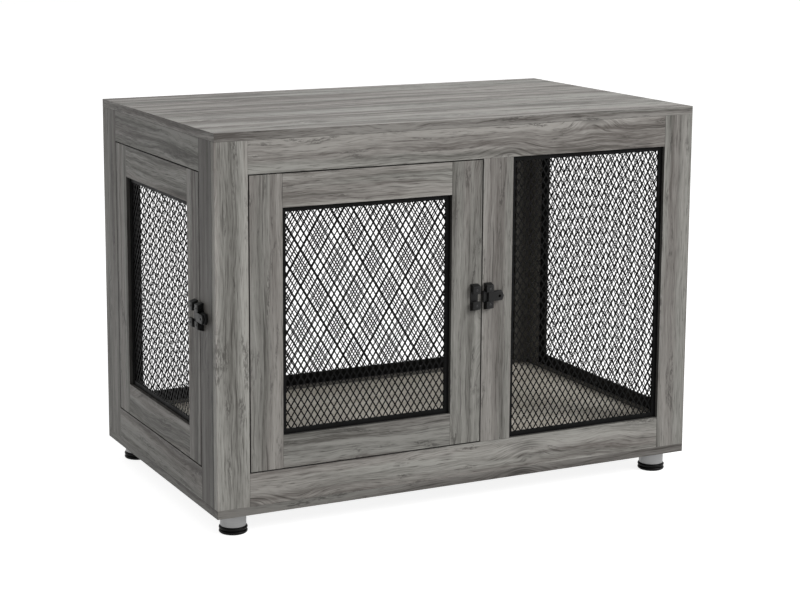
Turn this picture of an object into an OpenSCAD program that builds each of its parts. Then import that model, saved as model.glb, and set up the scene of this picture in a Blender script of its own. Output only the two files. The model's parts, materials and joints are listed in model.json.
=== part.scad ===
// Furniture-style pet crate: a boarded case with four framed walls, mesh windows, two hinged
// doors with slide bolts, a raised floor board and four levelling feet.
// Boards stand in wall coordinates: x runs to the right as seen from outside, y runs inwards
// from the outer face, and z runs up from the underside of the bottom board.

/* [Case] */
// Width of the case over its boards, left to right
case_w = 950; // [700:1:1200]
// Depth of the case over its boards, front to rear
case_d = 568; // [420:1:750]
// Height of the case over its boards, without the feet
case_h = 660; // [480:1:900]
// Thickness of every case and door board
board_t = 15; // [13:0.5:20]
// Height of the top rail in each wall
top_rail_h = 57; // [48:0.5:80]
// Height of the bottom rail in each wall
bottom_rail_h = 58.5; // [48:0.5:80]

/* [Front and rear walls] */
// Width of the four outer stiles in the front and rear walls
front_stile_w = 60; // [50:0.5:90]
// Width of the stile between the front door and the front window
centre_stile_w = 60.5; // [48:0.5:90]
// Width of the opening that the front door closes
front_bay_w = 448.5; // [330:0.5:480]

/* [Side walls] */
// Width of the four stiles in the side walls
side_stile_w = 56; // [48:0.5:80]

/* [Doors] */
// Gap all round each closed door
door_gap = 2; // [1.5:0.1:4]
// Width of the stiles of the front door
front_door_stile_w = 60.5; // [50:0.5:90]
// Width of the stiles of the side door
side_door_stile_w = 55; // [50:0.5:80]
// Height of the top and bottom rails of both doors
door_rail_h = 58; // [45:0.5:80]
// Distance from a door's hinge edge to its pivot pins
pivot_inset = 30; // [20:0.5:32]
// Diameter of the pivot pins
pin_d = 6; // [4:0.5:7]
// Length of a pivot pin inside the door stile
pin_bite = 25; // [15:1:34]
// Length of a pivot pin inside its bush
pin_reach = 12; // [8:1:16]
// Radial clearance between a pivot pin and its bush
pin_clearance = 0.05; // [0.02:0.01:0.1]
// Wall of the pivot bushes
bush_wall = 2; // [1:0.1:2.5]
// Play between a bush flange and the door edge
bush_play = 0.3; // [0.2:0.1:0.8]
// Width of the bush flange beyond the bush wall
bush_flange_w = 2; // [1:0.1:2.2]
// Depth left under a pin at the bottom of its bush
bush_end = 1.5; // [1:0.1:3]
// Width of the steel stop tab behind each door
stop_w = 30; // [20:1:44]
// Height of the stop tab
stop_h = 40; // [20:1:80]
// Thickness of the stop tab
stop_t = 2; // [1:0.1:4]
// How far the stop tab reaches behind the door
stop_lap = 9; // [4:0.5:14]

/* [Mesh panels] */
// Wood left in front of the rebate that holds a panel
lip_t = 7; // [5:0.5:9]
// Width of the flat steel bars round each panel
frame_bar_w = 22; // [16:0.5:30]
// Thickness of the flat steel bars
frame_bar_t = 4; // [3:0.5:5]
// Width of bar that shows inside the wooden opening
frame_show = 8.5; // [3:0.5:12]
// Clearance between a panel and its rebate, on each edge
panel_fit = 0.5; // [0.2:0.1:1]
// Width of one mesh diamond
cell_w = 12.5; // [10:0.5:40]
// Height of one mesh diamond
cell_h = 20; // [14:0.5:60]
// Width of a mesh strand
strand_w = 2.3; // [1.2:0.1:3.5]
// Thickness of a mesh strand
strand_t = 0.4; // [0.4:0.1:1.4]
// Length of each strand end inside the steel bar
strand_bite = 4; // [3:0.5:6]
// Weld gap between the two layers of strands
weld_gap = 0.02; // [0.02:0.01:0.1]

/* [Floor] */
// Height of the floor board's upper face above the underside of the case
floor_level = 53; // [44:0.5:70]
// Thickness of the floor board
floor_t = 12; // [9:0.5:18]
// Clearance between the floor board and the walls
floor_fit = 1.5; // [0.5:0.1:3]
// Width of the bearers under the floor board
bearer_w = 30; // [20:1:50]
// Number of bearers under the floor board
bearer_count = 3; // [2:1:5]
// Distance from the side walls to the outer bearers
bearer_inset = 70; // [30:5:120]

/* [Dowels] */
// Diameter of the wooden dowels
dowel_d = 8; // [6:0.5:9]
// Length of the wooden dowels
dowel_l = 30; // [24:1:34]
// Depth of a dowel that ends inside the thickness of a board
dowel_bite = 9; // [7:0.5:10]
// Distance between the two dowels of a rail end
dowel_pitch = 20; // [14:0.5:24]
// Radial glue clearance of a dowel
dowel_clearance = 0.05; // [0.02:0.01:0.1]
// Glue space at each end of a dowel
dowel_end_gap = 0.5; // [0.2:0.1:1]
// Height between the dowels that tie the side walls to the front and rear walls
corner_dowel_pitch = 200; // [120:5:220]

/* [Feet] */
// Height of a foot from the ground to the underside of the case
foot_h = 38; // [30:0.5:60]
// Height of the pad at the bottom of a foot
pad_h = 13; // [10:0.5:18]
// Diameter of the metal tube of a foot
tube_d = 45.5; // [36:0.5:56]
// Wall of the metal tube
tube_wall = 1.5; // [1:0.1:3]
// Thickness of the plates that close the tube's ends
tube_plate_t = 3; // [2:0.5:5]
// How far the pad stands out beyond the tube
pad_proud = 2.3; // [1:0.1:4]
// Number of ribs round the pad
pad_ribs = 2; // [1:1:3]
// Width of the grooves between the ribs of the pad
pad_groove = 0.4; // [0.2:0.1:1]
// Diameter of the levelling stud
stud_d = 10; // [8:0.5:12]
// Height of the levelling stud above the pad
stud_l = 16; // [10:0.5:18]
// Radial clearance between the stud and its threaded plate
stud_clearance = 0.05; // [0.02:0.01:0.1]
// Distance from the ends of the case to the middle of a foot
foot_inset_x = 44; // [32:0.5:80]
// Distance from the front and rear of the case to the middle of a foot
foot_inset_y = 39; // [32:0.5:80]
// Diameter of the stud that fixes a foot in the bottom board
foot_stud_d = 10; // [6:0.5:14]
// Length of that stud inside the bottom board
foot_stud_l = 11; // [8:0.5:12]
// Radial clearance between that stud and the bottom board
foot_stud_clearance = 0.05; // [0.02:0.01:0.1]

/* [Latches] */
// Height of the latches above the underside of the case
latch_z = 341.5; // [200:0.5:420]
// Height of the latch body and keeper plates
latch_h = 48.5; // [42:0.5:60]
// How far a latch stands out from the boards
latch_proud = 11.5; // [10:0.5:14]
// Thickness of the latch plates against the boards
latch_plate_t = 1.5; // [1:0.1:2.5]
// Height over the raised guides of a latch
guide_h = 42; // [36:0.5:46]
// Width of the latch body
latch_body_w = 14; // [10:0.5:18]
// Distance from the edge of the fixed stile to the latch body
latch_body_inset = 3.4; // [3:0.1:8]
// Width of the keeper
keeper_w = 15; // [12:0.5:20]
// Distance from the edge of the door to the keeper
keeper_inset = 7.2; // [5:0.1:9]
// Height of the keeper's front slot, too low for the bolt's grip to pass
keeper_slot_h = 13.7; // [10:0.1:15]
// Height of the flat bolt
bolt_h = 18.5; // [16:0.5:20]
// Thickness of the flat bolt
bolt_t = 5; // [3:0.1:5.5]
// Clearance round the bolt in its guides
bolt_play = 0.3; // [0.1:0.05:0.5]
// Width of each body lip in front of the bolt
guide_lip = 1.2; // [1:0.1:2]
// How far the tip of the drawn bolt reaches over the gap beside the door
bolt_tip_reach = 0.8; // [0.2:0.1:1]
// Width of the bolt's head, which stops it against the body when it is drawn
bolt_head_w = 3.9; // [2:0.1:3.9]
// Height by which the bolt's head stands out, above and below
bolt_ear = 1.1; // [0.8:0.1:1.5]
// Length of the bolt
bolt_l = 40.6; // [38:0.1:48]
// Distance from the tip of the bolt to its raised grip
grip_inset = 8.1; // [7:0.1:9]
// How far the grip rises from the flat bolt
grip_rise = 4.4; // [3:0.1:5]
// Width of the step between the pointed ends of the bolt and its grip
grip_step = 1.2; // [0.8:0.1:2]
// Length of the pointed end of the bolt's tab
bolt_point = 3.5; // [2:0.5:6]
// Diameter of the hole in the bolt's tab
bolt_hole_d = 5; // [3:0.5:7]
// Distance from the end of the tab to its hole
bolt_hole_inset = 10; // [8:0.5:12]

/* [Hidden] */
$fn = 48;

oak = "#7d7a74";
steel = "#242424";
brushed = "#9a9a9a";
plastic = "#141414";
birch = "#c9a878";
nylon = "#1e1e1e";

// Overrun of a cut past the face it opens
over = 1;

// Walls
side_w = case_d - 2 * board_t;
wall_z0 = board_t;
wall_z1 = case_h - board_t;
bay_z0 = wall_z0 + bottom_rail_h;
bay_z1 = wall_z1 - top_rail_h;
bay_h = bay_z1 - bay_z0;
front_bay_x0 = front_stile_w - case_w / 2;
front_bay_x1 = front_bay_x0 + front_bay_w;
front_window_x0 = front_bay_x1 + centre_stile_w;
front_window_x1 = case_w / 2 - front_stile_w;
side_bay_w = side_w - 2 * side_stile_w;
corner_x = (case_w - board_t) / 2;

// Doors
door_h = bay_h - 2 * door_gap;
door_z0 = bay_z0 + door_gap;
front_door_w = front_bay_w - 2 * door_gap;
side_door_w = side_bay_w - 2 * door_gap;
front_door_x0 = front_bay_x0 + door_gap;
side_door_x0 = -side_door_w / 2;
bush_d = pin_d + 2 * pin_clearance + 2 * bush_wall;
bush_flange_t = door_gap - bush_play;
bush_depth = pin_reach + bush_end;

// Mesh panels
seat_w = frame_bar_w - frame_show + panel_fit;
cell_slope = cell_w / cell_h;

// Latches: heights outwards from the face of the boards
bolt_y0 = latch_plate_t + bolt_play;
channel_y1 = bolt_y0 + bolt_t + bolt_play;
channel_h = bolt_h + 2 * bolt_play;
keeper_channel_h = channel_h + 2 * bolt_ear;
body_slot_h = channel_h - 2 * guide_lip;
grip_h = body_slot_h - 2 * bolt_play;
front_latch_x = front_bay_x1;
side_latch_x = side_bay_w / 2;

// Feet
tube_h = foot_h - pad_h;
foot_x = case_w / 2 - foot_inset_x;
foot_y = case_d / 2 - foot_inset_y;

// The origin lies under the middle of the whole crate, latches included
module crate() {
    translate([latch_proud / 2, latch_proud / 2, foot_h]) children();
}

// Wall coordinates of each side, seen from outside
module front() {
    crate() translate([0, -case_d / 2, 0]) children();
}

module rear() {
    crate() translate([0, case_d / 2, 0]) rotate(180) children();
}

module left() {
    crate() translate([-case_w / 2, 0, 0]) rotate(-90) children();
}

module right() {
    crate() translate([case_w / 2, 0, 0]) rotate(90) children();
}

// A board standing in a wall, between two positions and two heights
module board(x0, x1, z0, z1) {
    translate([x0, 0, z0]) cube([x1 - x0, board_t, z1 - z0]);
}

// Rebate behind a wooden opening that takes a mesh panel
module panel_seat(x0, x1, z0, z1) {
    translate([x0 - seat_w, lip_t, z0 - seat_w])
        cube([x1 - x0 + 2 * seat_w, board_t - lip_t + over, z1 - z0 + 2 * seat_w]);
}

// One family of parallel mesh strands that fills a half width and a half height
module strands(half_w, half_h) {
    tilt = atan(cell_slope);
    reach = half_w + half_h * cell_slope;
    for (i = [ceil(-reach / cell_w) : floor(reach / cell_w)]) {
        z0 = max(-half_h, (-half_w - i * cell_w) / cell_slope);
        z1 = min(half_h, (half_w - i * cell_w) / cell_slope);
        if (z1 - z0 > 2 * strand_bite)
            translate([i * cell_w + z0 * cell_slope, 0, z0]) rotate([0, tilt, 0])
                translate([-strand_w / 2, 0, 0]) cube([strand_w, strand_t, (z1 - z0) / cos(tilt)]);
    }
}

// Welded mesh panel behind a wooden opening: a flat bar frame with two crossed layers of strands
module mesh_panel(x0, x1, z0, z1) {
    open_w = x1 - x0 - 2 * frame_show;
    open_h = z1 - z0 - 2 * frame_show;
    half_w = open_w / 2 + strand_bite;
    half_h = open_h / 2 + strand_bite;
    inset = (frame_bar_t - 2 * strand_t - weld_gap) / 2;
    color(steel) translate([(x0 + x1) / 2, lip_t, (z0 + z1) / 2]) {
        rotate([90, 0, 0]) translate([0, 0, -frame_bar_t]) linear_extrude(frame_bar_t) difference() {
            square([open_w + 2 * frame_bar_w, open_h + 2 * frame_bar_w], center = true);
            square([open_w, open_h], center = true);
        }
        translate([0, inset, 0]) strands(half_w, half_h);
        translate([0, inset + strand_t + weld_gap, 0]) mirror([1, 0, 0]) strands(half_w, half_h);
    }
}

// A dowel or its hole across a joint: a hole is the dowel with its glue clearance
module dowel(hole) {
    grow = hole ? 2 : 0;
    cylinder(h = dowel_l + grow * dowel_end_gap, d = dowel_d + grow * dowel_clearance, center = true);
}

module dowel_across(x, z, hole) {
    translate([x, board_t / 2, z]) rotate([0, 90, 0]) dowel(hole);
}

module dowel_up(x, z, hole) {
    translate([x, board_t / 2, z]) dowel(hole);
}

// Dowels between the rails and stiles of a framed wall or door
module rail_dowels(x0, x1, bottom_z, bottom_h, top_z, top_h, hole) {
    for (x = [x0, x1], s = [-1, 1]) {
        dowel_across(x, bottom_z + (bottom_h - seat_w + s * dowel_pitch) / 2, hole);
        dowel_across(x, top_z - (top_h - seat_w + s * dowel_pitch) / 2, hole);
    }
}

// Dowels that tie the outer stiles of a wall to the top and bottom boards
module cap_dowels(stile_mid_x, hole) {
    for (s = [-1, 1]) {
        dowel_up(s * stile_mid_x, wall_z0 + dowel_l / 2 - dowel_bite, hole);
        dowel_up(s * stile_mid_x, wall_z1 - dowel_l / 2 + dowel_bite, hole);
    }
}

// Dowels from the back of a front or rear stile into the edge of a side stile
module corner_dowels(hole) {
    for (s = [-1, 1], k = [-1 : 1])
        translate([s * corner_x, board_t + dowel_l / 2 - dowel_bite, case_h / 2 + k * corner_dowel_pitch])
            rotate([90, 0, 0]) dowel(hole);
}

module centre_stile_dowels(hole) {
    for (z = [bay_z0, bay_z1], s = [-1, 1])
        dowel_up(front_bay_x1 + (centre_stile_w - seat_w + s * dowel_pitch) / 2, z, hole);
}

module wall_rail_dowels(half_w, hole) {
    rail_dowels(-half_w, half_w, wall_z0, bottom_rail_h, wall_z1, top_rail_h, hole);
}

// All the dowels of a front or rear wall, in its own coordinates
module long_wall_dowels(hole) {
    wall_rail_dowels(case_w / 2 - front_stile_w, hole);
    cap_dowels((case_w - front_stile_w) / 2, hole);
    corner_dowels(hole);
}

// All the dowels of a side wall, in its own coordinates
module side_wall_dowels(hole) {
    wall_rail_dowels(side_bay_w / 2, hole);
    cap_dowels((side_w - side_stile_w) / 2, hole);
}

// Front wall
module front_holes() {
    long_wall_dowels(true);
    centre_stile_dowels(true);
    panel_seat(front_window_x0, front_window_x1, bay_z0, bay_z1);
    for (z = [bay_z0, bay_z1])
        bush_holes(front_door_x0 + pivot_inset, z);
}

module front_left_stile() {
    color(oak) front() difference() {
        board(-case_w / 2, front_bay_x0, wall_z0, wall_z1);
        front_holes();
    }
}

module front_right_stile() {
    color(oak) front() difference() {
        board(front_window_x1, case_w / 2, wall_z0, wall_z1);
        front_holes();
    }
}

module front_centre_stile() {
    color(oak) front() difference() {
        board(front_bay_x1, front_window_x0, bay_z0, bay_z1);
        front_holes();
    }
}

module front_top_rail() {
    color(oak) front() difference() {
        board(front_bay_x0, front_window_x1, bay_z1, wall_z1);
        front_holes();
    }
}

module front_bottom_rail() {
    color(oak) front() difference() {
        board(front_bay_x0, front_window_x1, wall_z0, bay_z0);
        front_holes();
    }
}

// Rear wall: its stiles are named by the crate's own left and right
module rear_holes() {
    long_wall_dowels(true);
    panel_seat(front_stile_w - case_w / 2, case_w / 2 - front_stile_w, bay_z0, bay_z1);
}

module rear_stile(x0) {
    color(oak) rear() difference() {
        board(x0, x0 + front_stile_w, wall_z0, wall_z1);
        rear_holes();
    }
}

module rear_rail(z0, z1) {
    color(oak) rear() difference() {
        board(front_stile_w - case_w / 2, case_w / 2 - front_stile_w, z0, z1);
        rear_holes();
    }
}

module rear_left_stile() {
    rear_stile(case_w / 2 - front_stile_w);
}

module rear_right_stile() {
    rear_stile(-case_w / 2);
}

module rear_top_rail() {
    rear_rail(bay_z1, wall_z1);
}

module rear_bottom_rail() {
    rear_rail(wall_z0, bay_z0);
}

// Side walls: the corner dowels are those of the front and rear walls
module all_corner_holes() {
    front() corner_dowels(true);
    rear() corner_dowels(true);
}

module side_stile(x0) {
    board(x0, x0 + side_stile_w, wall_z0, wall_z1);
}

module side_rail(z0, z1) {
    board(-side_bay_w / 2, side_bay_w / 2, z0, z1);
}

module left_wall() {
    color(oak) difference() {
        left() difference() {
            children();
            side_wall_dowels(true);
            for (z = [bay_z0, bay_z1])
                bush_holes(side_door_x0 + pivot_inset, z);
        }
        all_corner_holes();
    }
}

module right_wall() {
    color(oak) difference() {
        right() difference() {
            children();
            side_wall_dowels(true);
            panel_seat(-side_bay_w / 2, side_bay_w / 2, bay_z0, bay_z1);
        }
        all_corner_holes();
    }
}

module left_front_stile() {
    left_wall() side_stile(side_bay_w / 2);
}

module left_rear_stile() {
    left_wall() side_stile(-side_w / 2);
}

module left_top_rail() {
    left_wall() side_rail(bay_z1, wall_z1);
}

module left_bottom_rail() {
    left_wall() side_rail(wall_z0, bay_z0);
}

module right_front_stile() {
    right_wall() side_stile(-side_w / 2);
}

module right_rear_stile() {
    right_wall() side_stile(side_bay_w / 2);
}

module right_top_rail() {
    right_wall() side_rail(bay_z1, wall_z1);
}

module right_bottom_rail() {
    right_wall() side_rail(wall_z0, bay_z0);
}

// Fixed mesh panels
module front_window_panel() {
    front() mesh_panel(front_window_x0, front_window_x1, bay_z0, bay_z1);
}

module rear_window_panel() {
    rear() mesh_panel(front_stile_w - case_w / 2, case_w / 2 - front_stile_w, bay_z0, bay_z1);
}

module right_window_panel() {
    right() mesh_panel(-side_bay_w / 2, side_bay_w / 2, bay_z0, bay_z1);
}

// Top, bottom and floor
module all_cap_holes() {
    front() cap_dowels((case_w - front_stile_w) / 2, true);
    rear() cap_dowels((case_w - front_stile_w) / 2, true);
    left() cap_dowels((side_w - side_stile_w) / 2, true);
    right() cap_dowels((side_w - side_stile_w) / 2, true);
}

module cap_board(z0) {
    crate() translate([-case_w / 2, -case_d / 2, z0]) cube([case_w, case_d, board_t]);
}

module top_board() {
    color(oak) difference() {
        cap_board(wall_z1);
        all_cap_holes();
    }
}

module bottom_board() {
    color(oak) difference() {
        cap_board(0);
        all_cap_holes();
        foot_stud_holes();
    }
}

module floor_board() {
    w = case_w - 2 * board_t - 2 * floor_fit;
    d = side_w - 2 * floor_fit;
    color(oak) crate() translate([-w / 2, -d / 2, floor_level - floor_t]) cube([w, d, floor_t]);
}

module floor_bearers() {
    span = case_w - 2 * board_t - 2 * bearer_inset - bearer_w;
    d = side_w - 2 * floor_fit;
    color(birch) crate() for (i = [0 : bearer_count - 1])
        translate([i / (bearer_count - 1) * span - span / 2 - bearer_w / 2, -d / 2, board_t])
            cube([bearer_w, d, floor_level - floor_t - board_t]);
}

// Doors: a framed door starts at its hinge edge and is drawn closed
module door_holes(x0, w, stile_w) {
    z1 = door_z0 + door_h;
    rail_dowels(x0 + stile_w, x0 + w - stile_w, door_z0, door_rail_h, z1, door_rail_h, true);
    panel_seat(x0 + stile_w, x0 + w - stile_w, door_z0 + door_rail_h, z1 - door_rail_h);
    pivot_pins(x0 + pivot_inset);
}

module door_hinge_stile(x0, w, stile_w) {
    color(oak) difference() {
        board(x0, x0 + stile_w, door_z0, door_z0 + door_h);
        door_holes(x0, w, stile_w);
    }
}

module door_latch_stile(x0, w, stile_w) {
    color(oak) difference() {
        board(x0 + w - stile_w, x0 + w, door_z0, door_z0 + door_h);
        door_holes(x0, w, stile_w);
    }
}

module door_rail(x0, w, stile_w, z0) {
    color(oak) difference() {
        board(x0 + stile_w, x0 + w - stile_w, z0, z0 + door_rail_h);
        door_holes(x0, w, stile_w);
    }
}

module door_panel(x0, w, stile_w) {
    mesh_panel(x0 + stile_w, x0 + w - stile_w, door_z0 + door_rail_h, door_z0 + door_h - door_rail_h);
}

module door_dowels(x0, w, stile_w) {
    z1 = door_z0 + door_h;
    color(birch) rail_dowels(x0 + stile_w, x0 + w - stile_w, door_z0, door_rail_h, z1, door_rail_h, false);
}

// Pivot pins at the two ends of a door's hinge stile
module pivot_pins(x) {
    pin_l = pin_bite + door_gap + pin_reach;
    translate([x, board_t / 2, bay_z0 - pin_reach]) cylinder(h = pin_l, d = pin_d);
    translate([x, board_t / 2, bay_z1 + pin_reach - pin_l]) cylinder(h = pin_l, d = pin_d);
}

module bush_holes(x, z) {
    h = bush_depth;
    translate([x, board_t / 2, z > case_h / 2 ? z - over : z - h]) cylinder(h = h + over, d = bush_d);
}

// A flanged bush with its flange at z = 0 and its barrel going down
module bush() {
    difference() {
        union() {
            translate([0, 0, -bush_depth]) cylinder(h = bush_depth, d = bush_d);
            cylinder(h = bush_flange_t, d = bush_d + 2 * bush_flange_w);
        }
        translate([0, 0, -pin_reach - bush_play])
            cylinder(h = pin_reach + bush_play + bush_flange_t + over, d = pin_d + 2 * pin_clearance);
    }
}

module bushes(x) {
    color(nylon) translate([x, board_t / 2, 0]) {
        translate([0, 0, bay_z0]) bush();
        translate([0, 0, bay_z1]) mirror([0, 0, 1]) bush();
    }
}

// Steel tab on the inside of the stile that the door closes against
module door_stop(edge_x) {
    color(steel) translate([edge_x - door_gap - stop_lap, board_t, latch_z - stop_h / 2])
        cube([stop_w, stop_t, stop_h]);
}

module front_door_hinge_stile() {
    front() door_hinge_stile(front_door_x0, front_door_w, front_door_stile_w);
}

module front_door_latch_stile() {
    front() door_latch_stile(front_door_x0, front_door_w, front_door_stile_w);
}

module front_door_top_rail() {
    front() door_rail(front_door_x0, front_door_w, front_door_stile_w, door_z0 + door_h - door_rail_h);
}

module front_door_bottom_rail() {
    front() door_rail(front_door_x0, front_door_w, front_door_stile_w, door_z0);
}

module front_door_panel() {
    front() door_panel(front_door_x0, front_door_w, front_door_stile_w);
}

module front_door_dowels() {
    front() door_dowels(front_door_x0, front_door_w, front_door_stile_w);
}

module front_door_pins() {
    color(brushed) front() pivot_pins(front_door_x0 + pivot_inset);
}

module front_door_bushes() {
    front() bushes(front_door_x0 + pivot_inset);
}

module front_door_stop() {
    front() door_stop(front_bay_x1);
}

module side_door_hinge_stile() {
    left() door_hinge_stile(side_door_x0, side_door_w, side_door_stile_w);
}

module side_door_latch_stile() {
    left() door_latch_stile(side_door_x0, side_door_w, side_door_stile_w);
}

module side_door_top_rail() {
    left() door_rail(side_door_x0, side_door_w, side_door_stile_w, door_z0 + door_h - door_rail_h);
}

module side_door_bottom_rail() {
    left() door_rail(side_door_x0, side_door_w, side_door_stile_w, door_z0);
}

module side_door_panel() {
    left() door_panel(side_door_x0, side_door_w, side_door_stile_w);
}

module side_door_dowels() {
    left() door_dowels(side_door_x0, side_door_w, side_door_stile_w);
}

module side_door_pins() {
    color(brushed) left() pivot_pins(side_door_x0 + pivot_inset);
}

module side_door_bushes() {
    left() bushes(side_door_x0 + pivot_inset);
}

module side_door_stop() {
    left() door_stop(side_bay_w / 2);
}

// Cross-section of a bolt guide, height across and outward depth up: a channel behind a lower slot
module guide_section(inner_h, slot_h) {
    difference() {
        polygon([
            [-latch_h / 2, 0],
            [latch_h / 2, 0],
            [latch_h / 2, latch_plate_t],
            [guide_h / 2, latch_proud],
            [-guide_h / 2, latch_proud],
            [-latch_h / 2, latch_plate_t]
        ]);
        translate([-inner_h / 2, latch_plate_t]) square([inner_h, channel_y1 - latch_plate_t]);
        translate([-slot_h / 2, latch_plate_t]) square([slot_h, latch_proud]);
    }
}

// A length of bolt guide that starts at x = 0, on the face of a board at the latch height
module guide(w, inner_h, slot_h) {
    translate([0, 0, latch_z]) rotate([180, -90, 0]) linear_extrude(w) guide_section(inner_h, slot_h);
}

module latch_body(edge_x) {
    color(steel) translate([edge_x + latch_body_inset, 0, 0]) guide(latch_body_w, channel_h, body_slot_h);
}

module latch_keeper(edge_x) {
    color(steel) translate([edge_x - door_gap - keeper_inset - keeper_w, 0, 0])
        guide(keeper_w, keeper_channel_h, keeper_slot_h);
}

// A flat bar along x with one pointed end, and the hole of the bolt's tab
module pointed_bar(x0, x1, h) {
    difference() {
        polygon([
            [x0, -h / 2],
            [x1 - bolt_point, -h / 2],
            [x1, 0],
            [x1 - bolt_point, h / 2],
            [x0, h / 2]
        ]);
        translate([bolt_l - bolt_hole_inset, 0]) circle(d = bolt_hole_d);
    }
}

// Layer of a bolt that starts at a distance from the board and has its tip at x = 0
module bolt_layer(edge_x, y, t) {
    color(steel) translate([edge_x - bolt_tip_reach, -y, latch_z]) rotate([90, 0, 0]) linear_extrude(t) children();
}

module latch_bolt(edge_x) {
    bolt_layer(edge_x, bolt_y0, bolt_t) {
        pointed_bar(0, bolt_l, bolt_h);
        translate([0, -bolt_h / 2 - bolt_ear]) square([bolt_head_w, bolt_h + 2 * bolt_ear]);
    }
}

module latch_grip(edge_x) {
    bolt_layer(edge_x, bolt_y0 + bolt_t, grip_rise) pointed_bar(grip_inset, bolt_l - grip_step, grip_h);
}

module front_latch_body() {
    front() latch_body(front_latch_x);
}

module front_latch_bolt() {
    front() latch_bolt(front_latch_x);
}

module front_latch_grip() {
    front() latch_grip(front_latch_x);
}

module front_latch_keeper() {
    front() latch_keeper(front_latch_x);
}

module side_latch_body() {
    left() latch_body(side_latch_x);
}

module side_latch_bolt() {
    left() latch_bolt(side_latch_x);
}

module side_latch_grip() {
    left() latch_grip(side_latch_x);
}

module side_latch_keeper() {
    left() latch_keeper(side_latch_x);
}

// Feet: drawn under the case, with the axis of the foot on the origin
module at_foot(sx, sy) {
    crate() translate([sx * foot_x, sy * foot_y, 0]) children();
}

module foot_stud_holes() {
    hole_depth = foot_stud_l + foot_stud_clearance;
    for (sx = [-1, 1], sy = [-1, 1])
        at_foot(sx, sy) translate([0, 0, -over])
            cylinder(h = hole_depth + over, d = foot_stud_d + 2 * foot_stud_clearance);
}

// A closed tube with its fixing stud on top and a threaded plate below
module foot_tube(sx, sy) {
    color(brushed) at_foot(sx, sy) {
        difference() {
            translate([0, 0, -tube_h]) cylinder(h = tube_h, d = tube_d);
            translate([0, 0, tube_plate_t - tube_h])
                cylinder(h = tube_h - 2 * tube_plate_t, d = tube_d - 2 * tube_wall);
            translate([0, 0, -tube_h - over])
                cylinder(h = tube_plate_t + 2 * over, d = stud_d + 2 * stud_clearance);
        }
        cylinder(h = foot_stud_l, d = foot_stud_d);
    }
}

// A ribbed pad with the levelling stud moulded into it
module foot_pad(sx, sy) {
    rib_pitch = pad_h / pad_ribs;
    rib_r = (rib_pitch - pad_groove) / 2;
    rib_x = tube_d / 2 + pad_proud - rib_r;
    color(plastic) at_foot(sx, sy) translate([0, 0, -foot_h]) {
        rotate_extrude() {
            square([rib_x, pad_h]);
            for (k = [0 : pad_ribs - 1])
                translate([rib_x, rib_pitch * (k + 0.5)]) circle(r = rib_r);
        }
        cylinder(h = pad_h + stud_l, d = stud_d);
    }
}

module front_left_foot_tube() {
    foot_tube(-1, -1);
}

module front_right_foot_tube() {
    foot_tube(1, -1);
}

module rear_left_foot_tube() {
    foot_tube(-1, 1);
}

module rear_right_foot_tube() {
    foot_tube(1, 1);
}

module front_left_foot_pad() {
    foot_pad(-1, -1);
}

module front_right_foot_pad() {
    foot_pad(1, -1);
}

module rear_left_foot_pad() {
    foot_pad(-1, 1);
}

module rear_right_foot_pad() {
    foot_pad(1, 1);
}

module case_dowels() {
    color(birch) {
        front() {
            long_wall_dowels(false);
            centre_stile_dowels(false);
        }
        rear() long_wall_dowels(false);
        left() side_wall_dowels(false);
        right() side_wall_dowels(false);
    }
}

top_board();
bottom_board();
floor_board();
floor_bearers();
front_left_stile();
front_right_stile();
front_centre_stile();
front_top_rail();
front_bottom_rail();
rear_left_stile();
rear_right_stile();
rear_top_rail();
rear_bottom_rail();
left_front_stile();
left_rear_stile();
left_top_rail();
left_bottom_rail();
right_front_stile();
right_rear_stile();
right_top_rail();
right_bottom_rail();
front_window_panel();
rear_window_panel();
right_window_panel();
front_door_hinge_stile();
front_door_latch_stile();
front_door_top_rail();
front_door_bottom_rail();
front_door_panel();
side_door_hinge_stile();
side_door_latch_stile();
side_door_top_rail();
side_door_bottom_rail();
side_door_panel();
front_door_pins();
side_door_pins();
front_door_bushes();
side_door_bushes();
front_door_stop();
side_door_stop();
front_latch_body();
front_latch_bolt();
front_latch_grip();
front_latch_keeper();
side_latch_body();
side_latch_bolt();
side_latch_grip();
side_latch_keeper();
front_left_foot_tube();
front_right_foot_tube();
rear_left_foot_tube();
rear_right_foot_tube();
front_left_foot_pad();
front_right_foot_pad();
rear_left_foot_pad();
rear_right_foot_pad();
case_dowels();
front_door_dowels();
side_door_dowels();
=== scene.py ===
"""Looks of a furniture-style pet crate.

Grey oak boards, black steel mesh panels, slide latches, turned feet and a plain studio.
"""

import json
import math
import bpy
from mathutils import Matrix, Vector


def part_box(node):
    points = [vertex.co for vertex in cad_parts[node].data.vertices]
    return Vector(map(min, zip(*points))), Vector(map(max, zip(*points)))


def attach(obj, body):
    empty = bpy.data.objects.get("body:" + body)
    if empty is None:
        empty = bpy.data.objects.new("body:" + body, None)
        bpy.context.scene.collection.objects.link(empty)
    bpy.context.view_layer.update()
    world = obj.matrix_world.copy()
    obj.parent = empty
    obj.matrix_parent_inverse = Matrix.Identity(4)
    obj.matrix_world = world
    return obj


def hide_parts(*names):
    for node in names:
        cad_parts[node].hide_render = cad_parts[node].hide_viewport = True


bl_info = {
    "name": "Pet crate",
    "version": (1, 0, 0),
    "blender": (4, 5, 0),
    "location": "3D Viewport > Sidebar > Crate",
    "description": "Dresses the packed pet crate with boards, mesh panels, latches, feet and a studio",
    "category": "Object",
}

from typing import NamedTuple

import bmesh
import bpy
from bpy.props import FloatProperty, FloatVectorProperty, IntProperty, PointerProperty
from mathutils import Matrix, Vector

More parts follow.
